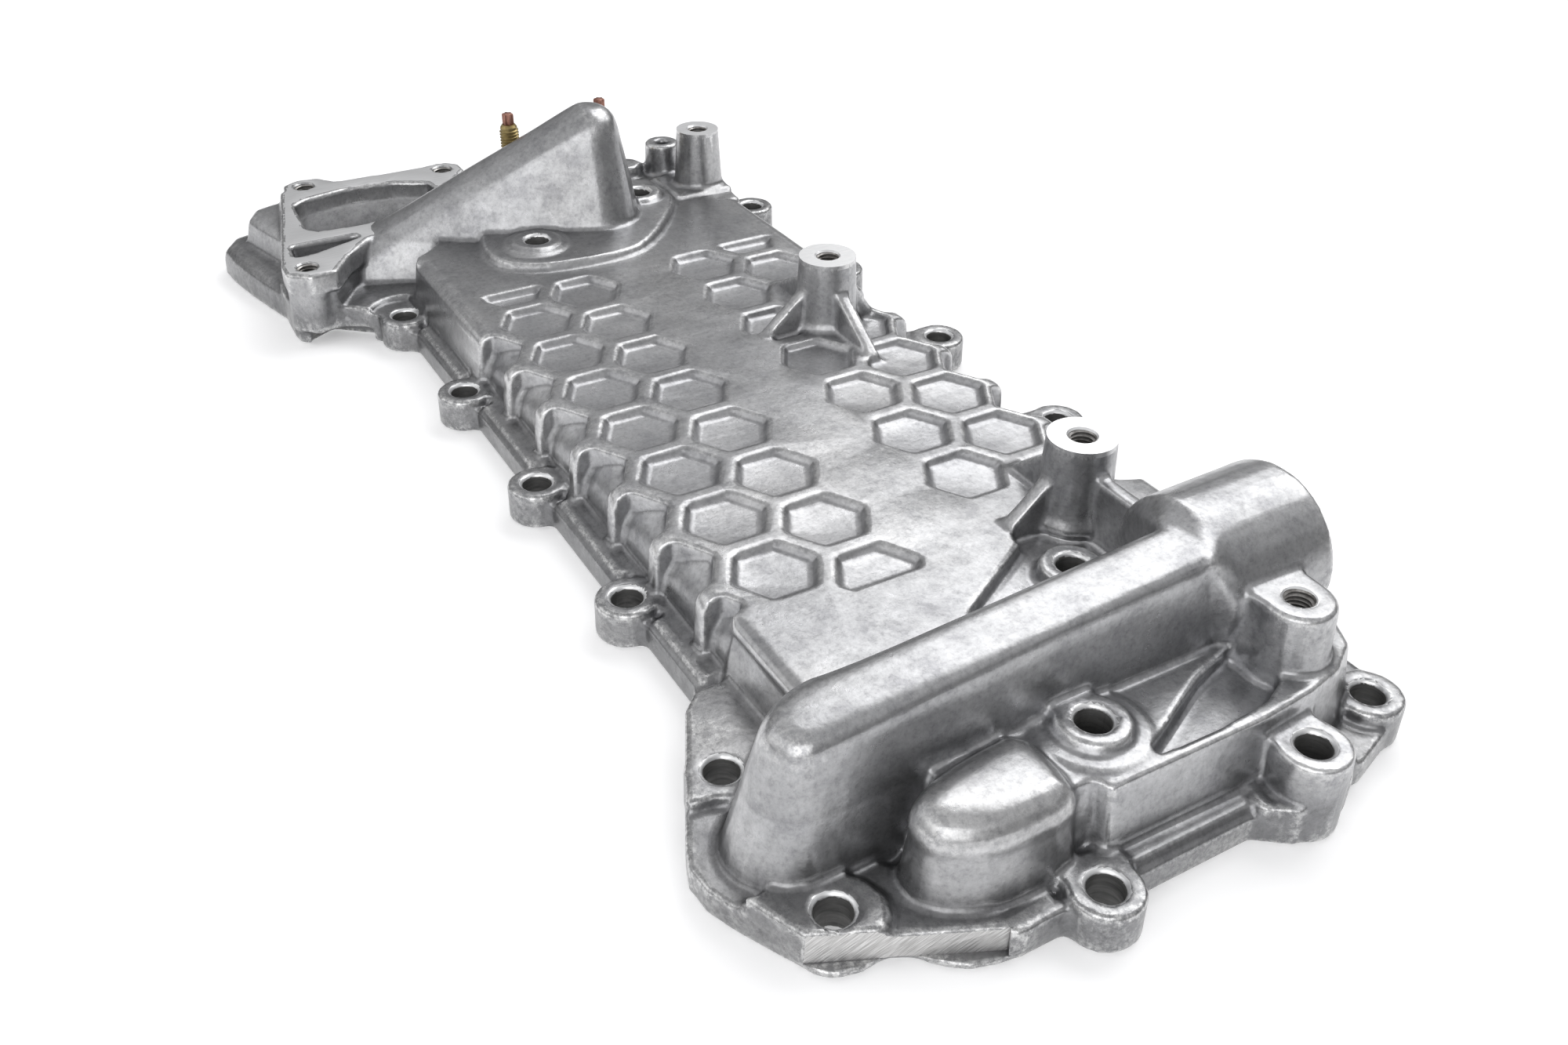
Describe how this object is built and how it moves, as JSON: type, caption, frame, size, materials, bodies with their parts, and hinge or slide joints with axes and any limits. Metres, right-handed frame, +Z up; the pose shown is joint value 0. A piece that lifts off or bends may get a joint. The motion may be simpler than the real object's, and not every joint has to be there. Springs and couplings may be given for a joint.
{
  "type": "oil cooler cover",
  "caption": "Cast aluminium engine oil cooler cover: ribbed flange, honeycomb panel, coolant duct with pipe stub, threaded posts, tall hump and triangular port flange with studs behind it.",
  "frame": {"origin": "axis of the datum bolt hole in the straight bolt row, on the gasket face", "axes": "+X along the cover towards the pipe end, +Y across towards the posts, +Z up from the gasket face"},
  "size_m": [0.4827, 0.233, 0.0766],
  "materials": {
    "cast": "cast, satin, with machined faces",
    "plated": "yellow zinc plated steel"
  },
  "bodies": {
    "root": {"cover": "cast", "stud_inboard": "plated", "stud_outboard": "plated"}
  },
  "joints": []
}
